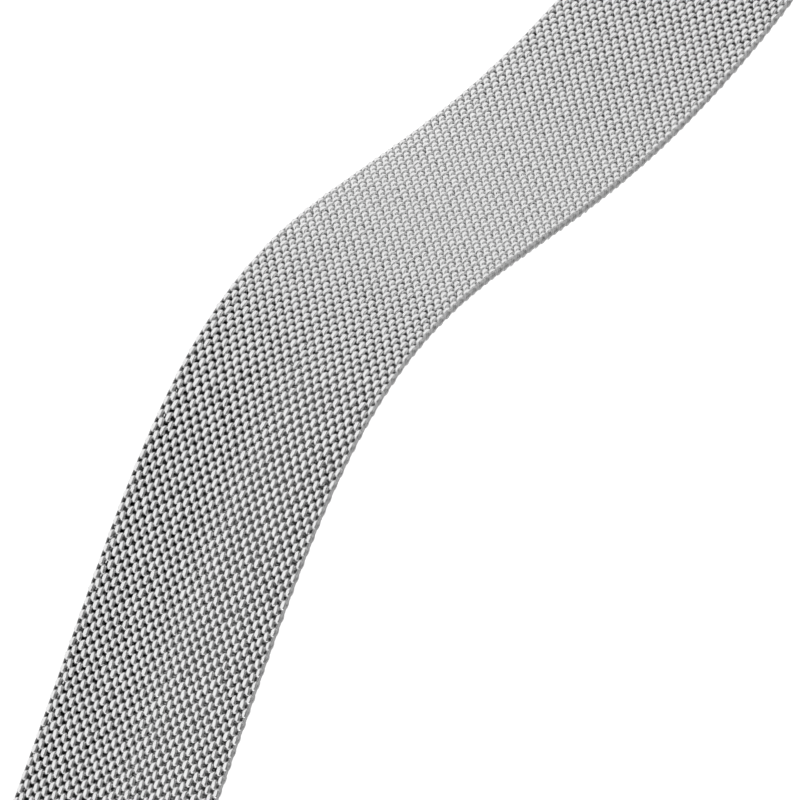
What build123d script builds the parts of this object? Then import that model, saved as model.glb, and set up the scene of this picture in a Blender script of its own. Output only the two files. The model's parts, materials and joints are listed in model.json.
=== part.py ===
from build123d import *
import math
import os

# A milanese mesh watch strap in millimetres, standing on one long edge with +Z across its width.
# It runs from a lug end bar, through a chain of mesh sections, to a magnetic tab, and its
# closing loop rides on the mesh beside the tab. The origin is under the middle of its box.

# Mesh
mesh_width = 20.0
mesh_thickness = 1.25
row_pitch = 0.712
row_crown = 0.07
rows_per_section = 12
hinge_clearance = 0.05
lip_angle = 50.0

# How the strap lies at rest: the heading of its first section and the turn at each hinge, in degrees
first_heading = 186.5
rest_turns = [
    0.5, 0.5, 0.1, 1.1, 0.6, -1.8, -6.0, -12.5, -18.3, -17.6, -10.7, -4.7,
    -0.9, 1.1, 2.4, 4.0, 4.5, 3.9, 5.1, 4.6, 3.0, 1.0,
    0,
]

# End bar, brazed over the start of the mesh
bar_reach = 4.2
bar_barrel_radius = 1.7
brazed_overlap = 1.2
brazed_wall = 0.45
seat_clearance = 0.05
edge_round = 0.2

# Quick-release spring bars
tube_radius = 0.9
tube_wall = 0.2
tip_radius = 0.4
tip_reach = 1.2
plug_length = 2.0
plunger_length = 3.0
lever_radius = 0.35
lever_inset = 2.0
knob_radius = 0.9
knob_thickness = 0.6
knob_gap = 0.3
spring_wall = 0.2
fit_clearance = 0.05
press_clearance = 0.01
slot_clearance = 0.1

# Closing loop and the link that joins it to the second lug. The loop rests past its section's middle.
loop_to_tab = 20.5
loop_offset = 2.0
loop_gap = 0.3
loop_side_gap = 0.3
loop_wall = 0.9
loop_bar_radius = 0.9
loop_cheek_margin = 0.4
loop_pin_radius = 0.75
link_barrel_wall = 0.55
link_length = 4.6

# Magnet tab, brazed over the end of the mesh
tab_length = 13.0
tab_thickness = 2.8
tab_outer_wall = 0.7
magnet_count = 3
magnet_length = 9.0
magnet_width = 5.2
magnet_thickness = 1.2
magnet_gap = 0.1
keeper_thickness = 0.4
cover_thickness = 0.45
cover_ledge = 0.8
pocket_start = 2.0

# Worked out from the values above
section_length = rows_per_section * row_pitch
section_count = len(rest_turns) + 1
loop_section = section_count - int(loop_to_tab / section_length)
groove_radius = mesh_thickness / 2 - row_crown
tube_bore_radius = tube_radius - tube_wall
release_travel = tip_reach
lever_height = mesh_width - lever_inset
lever_reach = bar_barrel_radius + knob_gap
link_barrel_radius = loop_pin_radius + fit_clearance + link_barrel_wall
loop_bar_side = mesh_thickness / 2 + loop_gap + loop_bar_radius
loop_pin_side = mesh_thickness / 2 + loop_gap + link_barrel_radius
edge_height = max(loop_side_gap + loop_wall, tip_reach)
full_cut = 2 * mesh_width


def column(radius, low, high):
    """An upright round bar between two heights."""
    return Pos(0, 0, low) * Cylinder(radius, high - low, align=(Align.CENTER, Align.CENTER, Align.MIN))


def tapered(near, near_radius, far, far_radius):
    """The face round two circles and the straight flanks that touch both."""
    along = (far - near).normalized()
    across = Vector(-along.Y, along.X)
    lean = math.asin((near_radius - far_radius) / (far - near).length)
    corners = []
    for centre, radius, sides in ((near, near_radius, (1, -1)), (far, far_radius, (-1, 1))):
        for side in sides:
            touch = along * math.sin(lean) + across * (side * math.cos(lean))
            corners.append(centre + touch * radius)
    flanks = make_face(Polyline(*corners, close=True))
    return flanks + Pos(near) * Circle(near_radius) + Pos(far) * Circle(far_radius)


def rounded_plate(outline, height):
    """An outline made solid from z = 0, with its top and bottom edges rounded."""
    plate = extrude(outline, height)
    levels = plate.edges().group_by(Axis.Z)
    return fillet(levels[0] + levels[-1], edge_round)


def mesh_strip():
    """The long section of a length of mesh from x = 0: a crown on each face for each row of coils."""
    edges = []
    for row in range(rows_per_section):
        groove = row * row_pitch
        for side in (1, -1):
            start = (groove, side * groove_radius)
            crown = (groove + row_pitch / 2, side * mesh_thickness / 2)
            end = (groove + row_pitch, side * groove_radius)
            edges.append(ThreePointArc(start, crown, end))
    for x in (0, section_length):
        edges.append(Line((x, -groove_radius), (x, groove_radius)))
    return make_face(edges)


def socket():
    """What is cut from a section's start: room for the last nose and for its bend both ways."""
    lip = mesh_thickness
    run = lip / math.tan(math.radians(lip_angle))
    relief = Polyline((0, 0), (run, lip), (-lip, lip), (-lip, -lip), (run, -lip), close=True)
    return make_face(relief) + Circle(groove_radius + hinge_clearance)


def mesh_section(has_socket, has_nose):
    """A length of mesh that turns as one: its nose sits in the next section's socket."""
    strip = mesh_strip()
    if has_nose:
        strip += Pos(section_length, 0) * Circle(groove_radius)
    if has_socket:
        strip -= socket()
    return extrude(strip, mesh_width)


def mesh_slot():
    """The slot that takes the brazed end of the mesh, which lies at x < 0."""
    opening = mesh_thickness + 2 * seat_clearance
    slot = Rectangle(full_cut, opening, align=(Align.MAX, Align.CENTER))
    return extrude(slot, mesh_width)


def lever_slot():
    """The slot that a release lever slides in, from a spring bar's axis out through its -Y side."""
    margin = lever_radius + slot_clearance
    low = lever_height - release_travel - margin
    height = release_travel + 2 * margin
    box = Box(2 * margin, lever_reach, height, align=(Align.CENTER, Align.MAX, Align.MIN))
    return Pos(0, 0, low) * box


def bar_bore():
    """The through bore for a spring bar, with its lever slot."""
    return column(tube_radius + fit_clearance, 0, mesh_width) + lever_slot()


def end_bar():
    """The bar over the start of the mesh, which carries a spring bar at x = bar_reach."""
    lip_radius = mesh_thickness / 2 + seat_clearance + brazed_wall
    lip = Vector(lip_radius - brazed_overlap, 0)
    barrel = Vector(bar_reach, 0)
    body = rounded_plate(tapered(barrel, bar_barrel_radius, lip, lip_radius), mesh_width)
    return body - mesh_slot() - Pos(barrel) * Rot(0, 0, 180) * bar_bore()


def spring_bar(name):
    """A quick-release spring bar on the Z axis, by node: its lever points along -Y."""
    tube = column(tube_radius, 0, mesh_width) - column(tube_bore_radius, 0, mesh_width) - lever_slot()
    plug = column(tube_bore_radius - press_clearance, 0, plug_length)
    fixed = plug + column(tip_radius, -tip_reach, 0)
    plunger_base = mesh_width - plunger_length
    plunger = column(tube_bore_radius - fit_clearance, plunger_base, mesh_width)
    moving = plunger + column(tip_radius, mesh_width, mesh_width + tip_reach) + release_lever()
    spring_radius = tube_bore_radius - fit_clearance
    spring = column(spring_radius, plug_length, plunger_base)
    spring -= column(spring_radius - spring_wall, plug_length, plunger_base)
    return {
        f"{name}_bar_tube": tube,
        f"{name}_fixed_tip": fixed,
        f"{name}_release_tip": moving,
        f"{name}_bar_spring": spring,
    }


def release_lever():
    """The stem and knob that a fingernail pulls to draw the tip in."""
    turned = Pos(0, 0, lever_height) * Rot(90, 0, 0)
    stem = column(lever_radius, 0, lever_reach)
    knob = column(knob_radius, lever_reach, lever_reach + knob_thickness)
    return turned * (stem + knob)


def loop_frame():
    """A round bar outside the strap and two cheeks that hold the pin inside it."""
    bar_centre = Vector(0, loop_bar_side)
    pin_centre = Vector(0, -loop_pin_side)
    outline = tapered(
        bar_centre,
        loop_bar_radius + loop_cheek_margin,
        pin_centre,
        loop_pin_radius + loop_cheek_margin,
    )
    pin_hole = column(loop_pin_radius + press_clearance, 0, loop_wall)
    cheek = rounded_plate(outline, loop_wall) - Pos(pin_centre) * pin_hole
    low = -loop_side_gap - loop_wall
    high = mesh_width + loop_side_gap
    bar = Pos(bar_centre) * column(loop_bar_radius, low + loop_wall, high)
    return Pos(0, 0, low) * cheek + Pos(0, 0, high) * cheek + bar


def loop_pin():
    """The pin across the loop, flush with both cheeks."""
    reach = loop_side_gap + loop_wall
    return column(loop_pin_radius, -reach, mesh_width + reach)


def lug_link():
    """The link from the loop pin at x = 0 to its spring bar at x = link_length."""
    pivot = Vector(0, 0)
    lug = Vector(link_length, 0)
    body = rounded_plate(tapered(lug, bar_barrel_radius, pivot, link_barrel_radius), mesh_width)
    body -= column(loop_pin_radius + fit_clearance, 0, mesh_width)
    return body - Pos(lug) * bar_bore()


def tab_pieces():
    """The magnet tab from the mesh end at x = 0, by node: its open face looks along -Y."""
    radius = tab_thickness / 2
    near = Vector(radius - brazed_overlap, 0)
    far = Vector(tab_length - radius, 0)
    shell = rounded_plate(tapered(near, radius, far, radius), mesh_width) - mesh_slot()
    pocket_width = magnet_count * magnet_width + (magnet_count + 1) * magnet_gap
    pocket_length = magnet_length + 2 * magnet_gap
    floor = radius - tab_outer_wall
    middle = Pos(pocket_start + pocket_length / 2, 0, mesh_width / 2)

    def block(length, top, thickness, width):
        up = (Align.CENTER, Align.MAX, Align.CENTER)
        return middle * Pos(0, top, 0) * Box(length, thickness, width, align=up)

    recess_length = pocket_length + 2 * cover_ledge
    recess_width = pocket_width + 2 * cover_ledge
    cover_top = cover_thickness - radius
    shell -= block(pocket_length, floor, full_cut, pocket_width)
    shell -= block(recess_length, cover_top, full_cut, recess_width)
    keeper = block(magnet_length, floor, keeper_thickness, pocket_width - 2 * magnet_gap)
    cover_gap = 2 * seat_clearance
    cover = block(recess_length - cover_gap, cover_top, cover_thickness, recess_width - cover_gap)
    magnet = block(magnet_length, floor - keeper_thickness, magnet_thickness, magnet_width)
    step = magnet_width + magnet_gap
    places = [(place - (magnet_count - 1) / 2) * step for place in range(magnet_count)]
    magnets = Compound([Pos(0, 0, place) * magnet for place in places])
    return {
        "tab_shell": shell,
        "tab_keeper_plate": keeper,
        "tab_magnets": magnets,
        "tab_cover": cover,
    }


def section_frames():
    """Where each mesh section starts, and its heading, from the end bar to the tab."""
    frames = []
    corner = Vector(0, 0, edge_height)
    heading = first_heading
    for turn in (0, *rest_turns):
        heading += turn
        frames.append(Pos(corner) * Rot(0, 0, heading))
        corner = (frames[-1] * Pos(section_length, 0, 0)).position
    return frames


def placed(frame, pieces):
    """Each node's piece moved to a frame."""
    return {name: frame * piece for name, piece in pieces.items()}


def strap():
    """Every node of the strap, in the frame of its first section's start."""
    last = len(frames)
    pieces = {}
    for number, frame in enumerate(frames, 1):
        pieces[f"mesh_section_{number:02d}"] = frame * mesh_section(number > 1, number < last)
    pieces |= placed(bar_frame, {"lug_end_bar": end_bar()})
    pieces |= placed(bar_frame * Pos(bar_reach, 0, 0) * Rot(0, 0, 180), spring_bar("lug"))
    pieces |= placed(loop_frame_at, {"loop_frame": loop_frame()})
    pieces |= placed(pin_frame, {"loop_pin": loop_pin(), "loop_link": lug_link()})
    pieces |= placed(pin_frame * Pos(link_length, 0, 0), spring_bar("link"))
    pieces |= placed(frames[-1] * Pos(section_length, 0, 0), tab_pieces())
    return pieces


# Frames of the pieces that the mesh carries: local +Y is the strap's outer side on the loop and tab
frames = section_frames()
bar_frame = frames[0] * Rot(0, 0, 180)
loop_frame_at = frames[loop_section - 1] * Pos(section_length / 2 + loop_offset, 0, 0)
pin_frame = loop_frame_at * Pos(0, -loop_pin_side, 0) * Rot(0, 0, -90)

nodes = strap()
box = Compound(list(nodes.values())).bounding_box()
to_origin = Pos(-box.center().X, -box.center().Y, -box.min.Z)

os.makedirs("parts", exist_ok=True)
for name, piece in nodes.items():
    export_step(to_origin * piece, f"parts/{name}.step")
print("box", box.size, "lowest", box.min.Z)
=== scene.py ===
import json
import math

import bpy
import numpy as np
from mathutils import Matrix, Vector

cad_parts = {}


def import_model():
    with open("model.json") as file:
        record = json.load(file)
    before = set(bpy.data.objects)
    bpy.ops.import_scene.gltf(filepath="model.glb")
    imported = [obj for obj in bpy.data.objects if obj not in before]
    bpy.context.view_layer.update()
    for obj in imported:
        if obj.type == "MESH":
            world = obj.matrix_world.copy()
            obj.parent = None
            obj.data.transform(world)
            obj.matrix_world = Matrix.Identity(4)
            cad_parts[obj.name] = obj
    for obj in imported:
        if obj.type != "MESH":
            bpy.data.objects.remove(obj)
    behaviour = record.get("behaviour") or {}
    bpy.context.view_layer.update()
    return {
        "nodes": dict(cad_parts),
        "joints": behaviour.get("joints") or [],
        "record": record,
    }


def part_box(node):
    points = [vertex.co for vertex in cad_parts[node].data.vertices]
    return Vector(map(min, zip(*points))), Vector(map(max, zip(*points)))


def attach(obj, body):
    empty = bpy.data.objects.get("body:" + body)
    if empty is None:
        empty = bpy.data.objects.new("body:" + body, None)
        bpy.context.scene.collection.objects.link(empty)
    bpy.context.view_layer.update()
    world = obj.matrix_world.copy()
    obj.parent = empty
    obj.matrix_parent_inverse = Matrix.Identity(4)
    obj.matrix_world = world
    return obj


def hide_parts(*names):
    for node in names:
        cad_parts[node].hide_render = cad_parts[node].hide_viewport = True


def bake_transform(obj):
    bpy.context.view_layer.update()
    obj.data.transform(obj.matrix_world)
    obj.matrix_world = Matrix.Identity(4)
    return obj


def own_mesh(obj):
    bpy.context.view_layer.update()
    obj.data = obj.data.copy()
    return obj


# Looks of a milanese mesh watch strap, in metres. The strap stands on one long edge.
# Along the strap, s runs from the lug end bar to the tab, n points to the outer side and w is up.

MM = 0.001
OUTWARD = np.array([0.0, 1.0, 0.0])
ACROSS = np.array([0.0, 0.0, 1.0])

# The weave: wire wound into flat coils that lie across the strap, by turns right and left handed.
# Each turn of a coil has a crest on the outer face. It reaches along the strap and rises out of its
# middle, and the sweep moves its climb across the strap from its crests to its sides.
ROWS_PER_SECTION = 12
COLUMN_PITCH = 1.0263 * MM
FIRST_CREST = 0.3 * MM
RIGHT_TURNS = 19
LEFT_TURNS = 18
COIL_REACH = 0.415 * MM
COIL_RISE = 0.44 * MM
COIL_SWEEP = 0.6
WIRE_HALF_WIDTH = 0.29 * MM
WIRE_HALF_THICKNESS = 0.26 * MM

# Past its first and last crest a coil curls in, and dips towards the lower and the upper edge
END_CURL = 0.5
RIGHT_END_DIPS = (0.05 * MM, 0.05 * MM)
LEFT_END_DIPS = (0.36 * MM, 0.30 * MM)

# Both faces are pressed flat, and the turns lie a little unevenly
PRESSED_BY = 0.12 * MM
FACE = COIL_RISE + WIRE_HALF_THICKNESS - PRESSED_BY
STRAY = 0.025 * MM

# Flat tie wires where two coils meet, wide enough to fill the holes, where they take the painted deep shade,
# and bowed hem wires round the ends of the left handed coils
TIE_HALF_WIDTH = 0.37 * MM
TIE_HALF_THICKNESS = 0.06 * MM
TIE_INSET = 0.8 * MM
HEM_REACH = 0.70 * MM
HEM_RISE = 0.15 * MM
HEM_HALF_WIDTH = 0.5 * MM
HEM_HALF_THICKNESS = 0.1 * MM

# How finely the wires are drawn
STEPS_PER_TURN = 16
HEM_STEPS = 12
WIRE_SIDES = 10
CAP_SCALE = 0.7

# The mesh's steel. Its colour grows lighter with height over the mesh's middle, from the deep share of its
# shade at the first height to all of it at the second.
# This darkening is painted shade, standing in for the shade deep in the weave. Both heights are shares of
# the face's.
WIRE_SHADE = 0.82
WIRE_ROUGHNESS = 0.28
WIRE_VARIATION = 0.06
DEEP_FROM = 0.1
DEEP_TO = 0.5
PAINTED_DEEP_SHADE = 0.65

# How fine the marks are in every steel
NOISE_DETAIL = 4

# Camera: where it looks, from the start of the mesh, and the turn about its own line of sight
CAMERA_AIM = Vector((-79.87 * MM, 59.6 * MM, 0))
CAMERA_ELEVATION = math.radians(18.66)
CAMERA_ROLL = math.radians(112.4)
VIEW_WIDTH = 80.5 * MM
LENS = 1650
SENSOR = 36
CLIP_END = 60

# Stage. Each lamp has an azimuth from the camera's side towards +X, an elevation and a radiance,
# and its size is the angle that it is seen under. All these angles are in degrees.
FLOOR_SIZE = 12
FLOOR_COLOUR = 0.8
FLOOR_LIFT = 0.78
WORLD_STRENGTH = 0.18
LAMP_SIZE = 50
LAMPS = {
    "right": (105, 12, 2.3),
    "upper_left": (-90, 45, 0.6),
    "left": (-120, 12, 0.26),
    "upper_front": (-30, 45, 0.18),
    "back": (180, 30, 0.35),
}

# Added to half the turn at each hinge, in radians, so that none is zero
LEAST_TURN = 1e-9


def mesh_object(name, vertices, faces, height, material):
    """A smooth mesh object of quads that keeps each vertex's height for its material."""
    mesh = bpy.data.meshes.new(name)
    mesh.vertices.add(len(vertices))
    mesh.vertices.foreach_set("co", vertices.astype(np.float32).ravel())
    mesh.loops.add(faces.size)
    mesh.loops.foreach_set("vertex_index", faces.astype(np.int32).ravel())
    mesh.polygons.add(len(faces))
    mesh.polygons.foreach_set("loop_start", np.arange(len(faces), dtype=np.int32) * faces.shape[1])
    mesh.polygons.foreach_set("use_smooth", np.ones(len(faces), dtype=bool))
    mesh.update(calc_edges=True)
    mesh.attributes.new("height", "FLOAT", "POINT").data.foreach_set("value", height.astype(np.float32))
    mesh.materials.append(material)
    piece = bpy.data.objects.new(name, mesh)
    bpy.context.scene.collection.objects.link(piece)
    return piece


class StrapLine:
    """The strap's middle line at rest: an arc from the middle of each section to the middle of the next."""

    def __init__(self, start, hinges, end):
        corners = np.array([start, *hinges, end])[:, :2]
        steps = np.diff(corners, axis=0)
        self.start = Vector(start)
        self.section = float(np.linalg.norm(steps[0]))
        self.heading = np.unwrap(np.arctan2(steps[:, 1], steps[:, 0]))
        self.middle = (corners[:-1] + corners[1:]) / 2
        self.count = len(steps)

    def places(self, flat):
        """Points given as rows of (s, n, w), as points in the row frame."""
        s, n, w = flat.T
        reach = s / self.section - 0.5
        arc = np.clip(np.floor(reach).astype(int), 0, self.count - 2)
        share = reach - arc
        turn = self.heading[arc + 1] - self.heading[arc]
        turn = np.where((share < 0) | (share > 1), 0, turn)
        base = np.where(share > 1, arc + 1, arc)
        share = np.where(share > 1, share - 1, share)
        half_turn = turn / 2 + LEAST_TURN
        length = self.section * half_turn / np.tan(half_turn)
        half = turn * share / 2
        chord = length * share * np.sinc(half / math.pi)
        along = self.heading[base] + half
        facing = self.heading[base] + 2 * half
        x = self.middle[base, 0] + chord * np.cos(along) - n * np.sin(facing)
        y = self.middle[base, 1] + chord * np.sin(along) + n * np.cos(facing)
        return np.column_stack([x, y, w + self.start.z])

    def section_middle(self, number):
        """The middle of section 1, 2, 3 and so on."""
        return Vector((*self.middle[number - 1], self.start.z))


def tube(path, half_width, half_thickness, wide_way):
    """A closed tube along a path in (s, n, w), widest along one way: vertices and quads."""
    tangent = np.gradient(path, axis=0)
    tangent /= np.linalg.norm(tangent, axis=1)[:, None]
    wide = wide_way - tangent * (tangent @ wide_way)[:, None]
    wide /= np.linalg.norm(wide, axis=1)[:, None]
    thin = np.cross(tangent, wide)
    angle = 2 * math.pi * np.arange(WIRE_SIDES) / WIRE_SIDES
    across = wide[:, None] * (half_width * np.cos(angle))[None, :, None]
    through = thin[:, None] * (half_thickness * np.sin(angle))[None, :, None]
    rings = path[:, None] + across + through
    rings = np.concatenate([cap(rings[0]), rings, cap(rings[-1])[::-1]])
    return rings.reshape(-1, 3), quads(len(rings))


def cap(ring):
    """Two smaller rings that close a tube's end."""
    centre = ring.mean(axis=0)
    return np.stack([np.repeat(centre[None], len(ring), axis=0), centre + CAP_SCALE * (ring - centre)])


def quads(ring_count):
    """The quads between rings of WIRE_SIDES vertices."""
    ring = np.arange(ring_count - 1)[:, None] * WIRE_SIDES
    side = np.arange(WIRE_SIDES)[None, :]
    near, following = ring + side, ring + (side + 1) % WIRE_SIDES
    return np.stack([near, following, following + WIRE_SIDES, near + WIRE_SIDES], -1).reshape(-1, 4)


def coil(left_handed, width, chance):
    """One coil of the weave about s = 0, from edge to edge of the strap, in (s, n, w)."""
    turns = LEFT_TURNS if left_handed else RIGHT_TURNS
    low_dip, high_dip = LEFT_END_DIPS if left_handed else RIGHT_END_DIPS
    steps = np.arange(-STEPS_PER_TURN, (turns + 1) * STEPS_PER_TURN + 1)
    angle = 2 * math.pi * steps / STEPS_PER_TURN
    wound = np.clip(angle, 0, 2 * math.pi * turns)
    curl = 1 - END_CURL * np.abs(angle - wound) / (2 * math.pi)
    n = curl * COIL_RISE * np.cos(angle)
    s = curl * COIL_REACH * np.sin(angle)
    w = FIRST_CREST + COLUMN_PITCH * (wound - COIL_SWEEP * np.sin(2 * wound)) / (2 * math.pi)
    dip = (1 - np.cos(angle)) / 2
    w = w - np.where(angle < 0, low_dip * dip, 0)
    w = w + np.where(angle > 2 * math.pi * turns, high_dip * dip, 0)
    if left_handed:
        s, w = -s, w + COLUMN_PITCH / 2
    half_turns = math.pi * np.arange(-2, 2 * turns + 3)
    strays = chance.normal(0, STRAY, (3, len(half_turns)))
    path = np.column_stack([s, n, w])
    path += np.column_stack([np.interp(angle, half_turns, stray) for stray in strays])
    vertices, faces = tube(path, WIRE_HALF_WIDTH, WIRE_HALF_THICKNESS, ACROSS)
    vertices[:, 1] = np.clip(vertices[:, 1], -FACE, FACE)
    vertices[:, 2] = np.clip(vertices[:, 2], 0, width)
    return vertices, faces


def hem(edge, inward):
    """The bowed wire round the end of a left handed coil, about s = 0, in (s, n, w)."""
    angle = np.linspace(0, math.pi, HEM_STEPS)
    w = edge + inward * (HEM_HALF_THICKNESS + HEM_RISE * (1 - np.sin(angle)))
    path = np.column_stack([HEM_REACH * np.cos(angle), 0 * angle, w])
    return tube(path, HEM_HALF_WIDTH, HEM_HALF_THICKNESS, OUTWARD)


def tie_wire(width):
    """The flat straight wire that two neighbouring coils are linked by, about s = 0, in (s, n, w). It fills
    the holes, which its painted deep shade makes dark.
    """
    angle = 2 * math.pi * np.arange(WIRE_SIDES) / WIRE_SIDES
    circle = np.column_stack([TIE_HALF_WIDTH * np.cos(angle), TIE_HALF_THICKNESS * np.sin(angle), 0 * angle])
    rings = np.stack([circle + (0, 0, w) for w in (TIE_INSET, width - TIE_INSET)])
    rings = np.concatenate([cap(rings[0]), rings, cap(rings[-1])[::-1]])
    return rings.reshape(-1, 3), quads(len(rings))


def weave_piece(name, line, rows, pitch, width, material):
    """The coils of some rows, with their tie and hem wires, as one object."""
    vertices, faces, count = [], [], 0
    tie = tie_wire(width)
    hems = [hem(0, 1), hem(width, -1)]
    for row in rows:
        left_handed = row % 2 == 1
        middle = (row + 0.5) * pitch
        parts = [(coil(left_handed, width, np.random.default_rng(row)), middle)]
        if row:
            parts.append((tie, row * pitch))
        if left_handed:
            parts += [(hem_wire, middle) for hem_wire in hems]
        for (points, corners), place in parts:
            vertices.append(points + np.array([place, 0, 0]))
            faces.append(corners + count)
            count += len(points)
    flat = np.concatenate(vertices)
    height = np.abs(flat[:, 1]) / FACE
    return mesh_object(name, line.places(flat), np.concatenate(faces), height, material)


def weave(line, width, material):
    """The whole mesh: half a section of it at each end, and pieces from section middle to section middle."""
    pitch = line.section / ROWS_PER_SECTION
    half = ROWS_PER_SECTION // 2
    last = line.count
    for number in range(last + 1):
        first_row = max(0, number * ROWS_PER_SECTION - half)
        end_row = min(last * ROWS_PER_SECTION, (number + 1) * ROWS_PER_SECTION - half)
        name = f"mesh_wires_{number:02d}"
        piece = weave_piece(name, line, range(first_row, end_row), pitch, width, material)
        near, far = max(1, number), min(last, number + 1)
        if near == far:
            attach(piece, f"mesh_{near:02d}")
            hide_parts(f"mesh_section_{near:02d}")
        else:
            start, end = line.section_middle(near), line.section_middle(far)
            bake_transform(piece)
            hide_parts(f"mesh_section_{near:02d}", f"mesh_section_{far:02d}")


def steel(name, shade, roughness, grain=(900, 900, 900), depth=0.0, variation=0.08, tint=0.05):
    """Bare steel: fine marks stretched by the grain's three scales, in roughness, shade and height."""
    material = bpy.data.materials.new(name)
    material.use_nodes = True
    nodes, links = material.node_tree.nodes, material.node_tree.links
    shader = nodes["Principled BSDF"]
    shader.inputs["Metallic"].default_value = 1
    place = nodes.new("ShaderNodeTexCoord")
    stretch = nodes.new("ShaderNodeMapping")
    stretch.inputs["Scale"].default_value = grain
    noise = nodes.new("ShaderNodeTexNoise")
    noise.inputs["Scale"].default_value = 1
    noise.inputs["Detail"].default_value = NOISE_DETAIL
    links.new(place.outputs["Object"], stretch.inputs["Vector"])
    links.new(stretch.outputs["Vector"], noise.inputs["Vector"])

    def spread(low, high):
        node = nodes.new("ShaderNodeMapRange")
        node.inputs["To Min"].default_value = low
        node.inputs["To Max"].default_value = high
        links.new(noise.outputs["Fac"], node.inputs["Value"])
        return node.outputs["Result"]

    links.new(spread(roughness - variation, roughness + variation), shader.inputs["Roughness"])
    grey = nodes.new("ShaderNodeCombineColor")
    tone = spread(shade - tint, shade + tint)
    for channel in ("Red", "Green", "Blue"):
        links.new(tone, grey.inputs[channel])
    links.new(grey.outputs["Color"], shader.inputs["Base Color"])
    if depth:
        bump = nodes.new("ShaderNodeBump")
        bump.inputs["Strength"].default_value = 1
        bump.inputs["Distance"].default_value = depth
        links.new(noise.outputs["Fac"], bump.inputs["Height"])
        links.new(bump.outputs["Normal"], shader.inputs["Normal"])
    return material


def wire_steel():
    """The mesh's steel, with painted shade: darker deep in the weave."""
    material = steel("mesh_wire", WIRE_SHADE, WIRE_ROUGHNESS, variation=WIRE_VARIATION)
    nodes, links = material.node_tree.nodes, material.node_tree.links
    shader = nodes["Principled BSDF"]
    shade = shader.inputs["Base Color"].links[0].from_socket
    height = nodes.new("ShaderNodeAttribute")
    height.attribute_name = "height"
    fall = nodes.new("ShaderNodeMapRange")
    fall.inputs["From Min"].default_value = DEEP_FROM
    fall.inputs["From Max"].default_value = DEEP_TO
    fall.inputs["To Min"].default_value = PAINTED_DEEP_SHADE
    links.new(height.outputs["Fac"], fall.inputs["Value"])
    # Painted shade: the colour is scaled down with depth in the weave
    painted_shade = nodes.new("ShaderNodeVectorMath")
    painted_shade.operation = "SCALE"
    links.new(shade, painted_shade.inputs["Vector"])
    links.new(fall.outputs["Result"], painted_shade.inputs["Scale"])
    links.new(painted_shade.outputs["Vector"], shader.inputs["Base Color"])
    return material


def steels():
    """The material of each slot, by the slot's name."""
    return {
        "mesh_wire": wire_steel(),
        "polished_steel": steel(
            "polished_steel", shade=0.64, roughness=0.18, grain=(600, 600, 250), depth=0.002 * MM
        ),
        "brushed_steel": steel(
            "brushed_steel", shade=0.58, roughness=0.3, grain=(2500, 2500, 120), depth=0.004 * MM
        ),
        "spring_steel": steel(
            "spring_steel", shade=0.5, roughness=0.35, grain=(150, 150, 2500), depth=0.03 * MM
        ),
        "magnet_plating": steel("magnet_plating", shade=0.6, roughness=0.15),
        "keeper_steel": steel(
            "keeper_steel", shade=0.5, roughness=0.35, grain=(150, 1500, 1500), depth=0.004 * MM
        ),
    }


def dress(frame, materials):
    """Every CAD piece but the mesh takes the material of its slot in the record."""
    slots = {part["node"]: part["material_slot"] for part in frame["record"]["subparts"]}
    for node, piece in frame["nodes"].items():
        if slots[node] != "mesh_wire":
            piece.data.materials.clear()
            piece.data.materials.append(materials[slots[node]])


def shorten_spring(frame, bar):
    """Gives a spring bar's spring a mesh of its own."""
    spring = frame["nodes"][f"{bar}_bar_spring"]
    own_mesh(spring)


def floor():
    """A pale floor that the camera sees as white away from the strap's shadow."""
    bpy.ops.mesh.primitive_plane_add(size=FLOOR_SIZE)
    plane = bpy.context.object
    plane.name = "floor"
    material = bpy.data.materials.new("floor")
    material.use_nodes = True
    nodes, links = material.node_tree.nodes, material.node_tree.links
    shader = nodes["Principled BSDF"]
    shader.inputs["Base Color"].default_value = (FLOOR_COLOUR, FLOOR_COLOUR, FLOOR_COLOUR, 1)
    shader.inputs["Roughness"].default_value = 1
    shader.inputs["Specular IOR Level"].default_value = 0
    shader.inputs["Emission Color"].default_value = (1, 1, 1, 1)
    path = nodes.new("ShaderNodeLightPath")
    either = nodes.new("ShaderNodeMath")
    either.operation = "MAXIMUM"
    seen = nodes.new("ShaderNodeMath")
    seen.operation = "MAXIMUM"
    lift = nodes.new("ShaderNodeMath")
    lift.operation = "MULTIPLY"
    lift.inputs[1].default_value = FLOOR_LIFT
    links.new(path.outputs["Is Camera Ray"], either.inputs[0])
    links.new(path.outputs["Is Glossy Ray"], either.inputs[1])
    links.new(either.outputs[0], seen.inputs[0])
    links.new(path.outputs["Is Transmission Ray"], seen.inputs[1])
    links.new(seen.outputs[0], lift.inputs[0])
    links.new(lift.outputs[0], shader.inputs["Emission Strength"])
    plane.data.materials.append(material)


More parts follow.
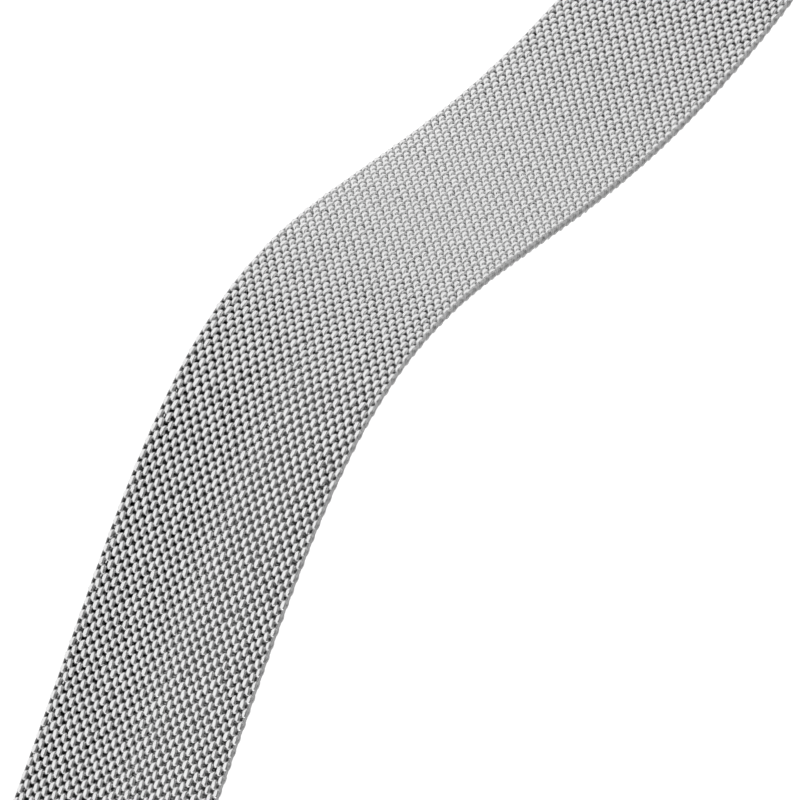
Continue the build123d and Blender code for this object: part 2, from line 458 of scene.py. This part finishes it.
def sun(name, azimuth, elevation, radiance):
    """A soft round lamp far away."""
    lamp = bpy.data.lights.new(name, "SUN")
    lamp.angle = math.radians(LAMP_SIZE)
    lamp.energy = radiance * math.pi * math.sin(lamp.angle / 2) ** 2
    source = bpy.data.objects.new(name, lamp)
    bpy.context.scene.collection.objects.link(source)
    a, e = math.radians(azimuth), math.radians(elevation)
    towards = Vector((math.sin(a) * math.cos(e), -math.cos(a) * math.cos(e), math.sin(e)))
    source.rotation_euler = towards.to_track_quat("Z", "Y").to_euler()


def world():
    """A plain grey room."""
    room = bpy.data.worlds.new("room")
    room.use_nodes = True
    room.node_tree.nodes["Background"].inputs["Color"].default_value = (1, 1, 1, 1)
    room.node_tree.nodes["Background"].inputs["Strength"].default_value = WORLD_STRENGTH
    bpy.context.scene.world = room


def camera(aim):
    """A long lens, from above the floor, turned about its line of sight as the photograph is."""
    lens = bpy.data.cameras.new("camera")
    lens.lens = LENS
    lens.sensor_width = SENSOR
    lens.clip_end = CLIP_END
    view = bpy.data.objects.new("camera", lens)
    bpy.context.scene.collection.objects.link(view)
    away = Vector((0, -math.cos(CAMERA_ELEVATION), math.sin(CAMERA_ELEVATION)))
    distance = VIEW_WIDTH * LENS / SENSOR
    level = Matrix.Rotation(math.pi / 2 - CAMERA_ELEVATION, 4, "X")
    roll = Matrix.Rotation(CAMERA_ROLL, 4, "Z")
    view.matrix_world = Matrix.Translation(aim + away * distance) @ level @ roll
    bpy.context.scene.camera = view


def strap_line(frame):
    """The strap's middle line, from the hinges of the mesh and the lug end bar's pin."""
    places = {joint["name"]: joint.get("pos_m") for joint in frame["joints"]}
    hinges = [Vector(places[name]) for name in sorted(places) if name.startswith("mesh_bend")]
    pin = next(mount for mount in frame["record"]["mounts"] if mount["name"] == "lug_pin_low")
    bar = Vector(pin["pos_m"])
    bar.z = hinges[0].z
    section = (hinges[1] - hinges[0]).length
    start = hinges[0] + (bar - hinges[0]).normalized() * section
    end = 2 * hinges[-1] - hinges[-2]
    return StrapLine(start, hinges, end)


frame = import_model()
bpy.context.scene.view_settings.view_transform = "Standard"

materials = steels()
line = strap_line(frame)
mesh_low, mesh_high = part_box("mesh_section_01")
weave(line, mesh_high.z - mesh_low.z, materials["mesh_wire"])
dress(frame, materials)
shorten_spring(frame, "lug")
shorten_spring(frame, "link")
floor()
world()
for name, (azimuth, elevation, radiance) in LAMPS.items():
    sun(name, azimuth, elevation, radiance)
camera(line.start + CAMERA_AIM)
